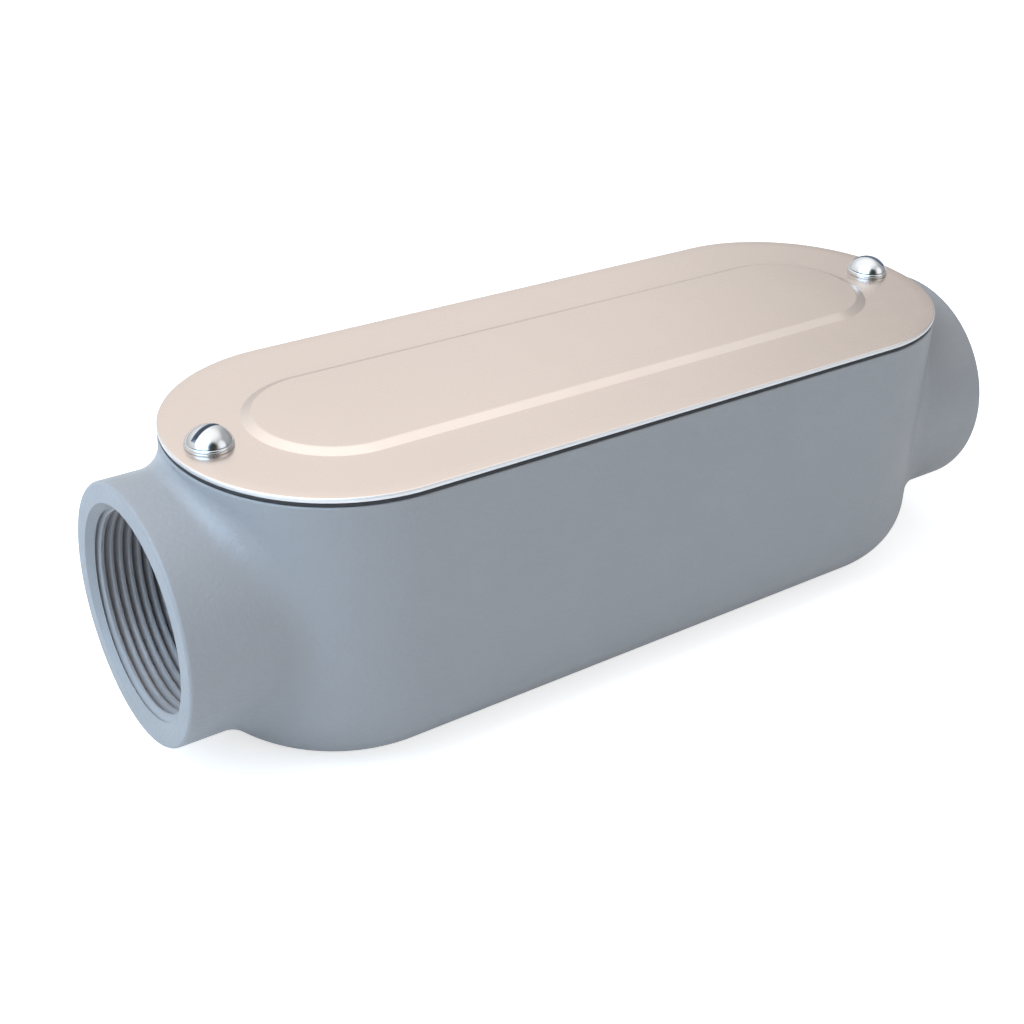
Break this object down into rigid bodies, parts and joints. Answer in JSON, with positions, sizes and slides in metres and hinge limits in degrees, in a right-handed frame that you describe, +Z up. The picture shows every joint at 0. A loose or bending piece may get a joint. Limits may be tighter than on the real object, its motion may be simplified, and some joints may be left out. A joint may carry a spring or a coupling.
{
  "type": "conduit body",
  "caption": "Straight-through rigid conduit body with two threaded hubs, a gasketed screwed cover over its wiring chamber and a flat base.",
  "frame": {"origin": "centre of the flat base, under the middle of the cover", "axes": "+X along the common axis of the two hubs, +Z up out of the cover"},
  "size_m": [0.3516, 0.1142, 0.1136],
  "materials": {
    "housing_coat": "satin grey powder coat on die-cast aluminium",
    "gasket_rubber": "matt moulded neoprene",
    "cover_sheet": "satin mill finish",
    "screw_steel": "bright zinc plate"
  },
  "bodies": {
    "root": {"conduit_body": "housing_coat", "gasket": "gasket_rubber", "cover_plate": "cover_sheet", "left_cover_screw": "screw_steel", "right_cover_screw": "screw_steel"}
  },
  "joints": []
}
